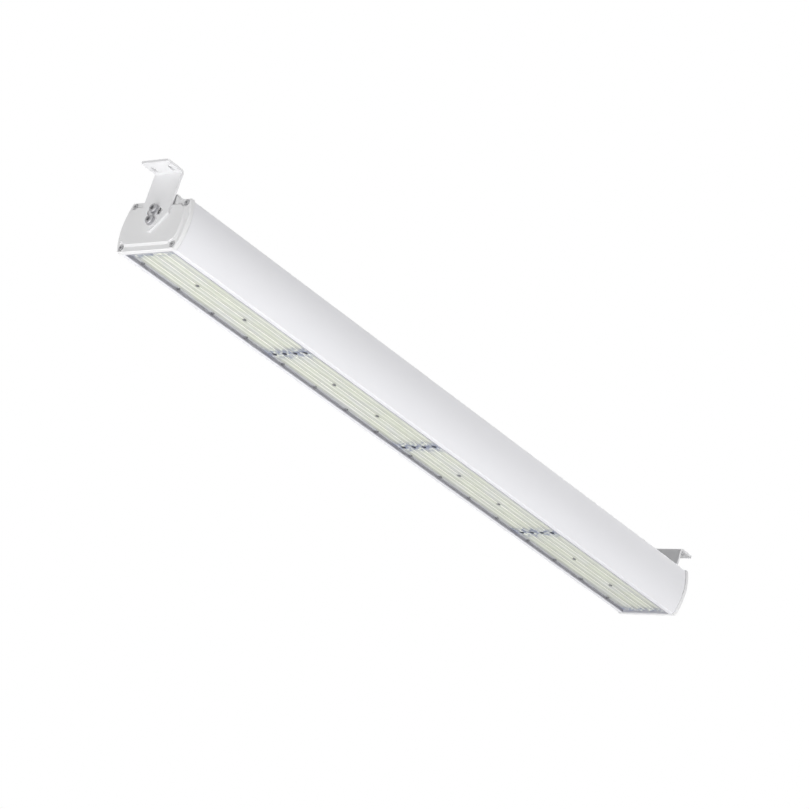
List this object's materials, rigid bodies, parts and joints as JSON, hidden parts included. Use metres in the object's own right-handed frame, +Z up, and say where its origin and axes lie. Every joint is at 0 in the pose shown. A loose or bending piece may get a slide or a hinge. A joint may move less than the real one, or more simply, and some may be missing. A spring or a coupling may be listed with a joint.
{
  "type": "linear high bay light",
  "caption": "Long metal high bay lamp with a curved extruded body, screwed end caps, clear linear optics below and a turning L bracket at each end.",
  "frame": {"origin": "centre of the base, under the middle of the body, at the height of the light opening's rim", "axes": "+X along the body toward the end with the cable gland, -Y toward the long side that faces a viewer at the left end, +Z up toward the ceiling"},
  "size_m": [1.2714, 0.1268, 0.1185],
  "materials": {
    "housing_paint": "satin powder coat",
    "cap_paint": "satin powder coat on die-cast metal",
    "cap_gasket": "silicone sponge",
    "cap_screws": "stainless",
    "bracket_paint": "satin powder coat on sheet steel",
    "bolts": "dark zinc plate",
    "washers": "zinc plate",
    "lens_seal": "dark silicone",
    "optic_clear": "clear moulded acrylic",
    "board_mask": "white solder mask on an aluminium core",
    "led_phosphor": "phosphor",
    "optic_screws": "black oxide",
    "joint_screws": "black oxide",
    "link_body": "white moulding",
    "driver_case": "bead blasted",
    "inner_screws": "zinc plate",
    "terminal_body": "polyamide",
    "lead_skin": "wire insulation",
    "gland_body": "moulded polyamide",
    "gland_nut": "moulded polyamide",
    "vent_body": "moulded polyamide"
  },
  "bodies": {
    "fixture": {"board_links": "link_body", "breather_vent": "vent_body", "cable_gland": "gland_body", "cap_gasket_left": "cap_gasket", "cap_gasket_right": "cap_gasket", "cap_screws_left": "cap_screws", "cap_screws_right": "cap_screws", "driver": "driver_case", "driver_screws": "inner_screws", "end_cap_left": "cap_paint", "end_cap_right": "cap_paint", "gland_lock_nut": "gland_nut", "housing": "housing_paint", "internal_leads": "lead_skin", "joint_screws_1": "joint_screws", "joint_screws_2": "joint_screws", "joint_screws_3": "joint_screws", "led_board_1": "board_mask", "led_board_2": "board_mask", "led_board_3": "board_mask", "led_board_4": "board_mask", "leds_1": "led_phosphor", "leds_2": "led_phosphor", "leds_3": "led_phosphor", "leds_4": "led_phosphor", "lens_frame": "lens_seal", "lock_bolt_left": "bolts", "lock_bolt_right": "bolts", "lock_washer_left": "washers", "lock_washer_right": "washers", "optic_1": "optic_clear", "optic_2": "optic_clear", "optic_3": "optic_clear", "optic_4": "optic_clear", "optic_screws_1": "optic_screws", "optic_screws_2": "optic_screws", "optic_screws_3": "optic_screws", "optic_screws_4": "optic_screws", "pivot_bolt_left": "bolts", "pivot_bolt_right": "bolts", "pivot_washer_left": "washers", "pivot_washer_right": "washers", "terminal_block": "terminal_body"},
    "bracket_left": {"bracket_left": "bracket_paint"},
    "bracket_right": {"bracket_right": "bracket_paint"}
  },
  "joints": [
    {"name": "bracket_left_hinge", "type": "hinge", "parent": "fixture", "child": "bracket_left", "pos_m": [-0.60445, 0, 0.042], "axis": [1, 0, 0], "range_deg": [-35, 35]},
    {"name": "bracket_right_hinge", "type": "hinge", "parent": "fixture", "child": "bracket_right", "pos_m": [0.60445, 0, 0.042], "axis": [1, 0, 0], "range_deg": [-35, 35]}
  ]
}
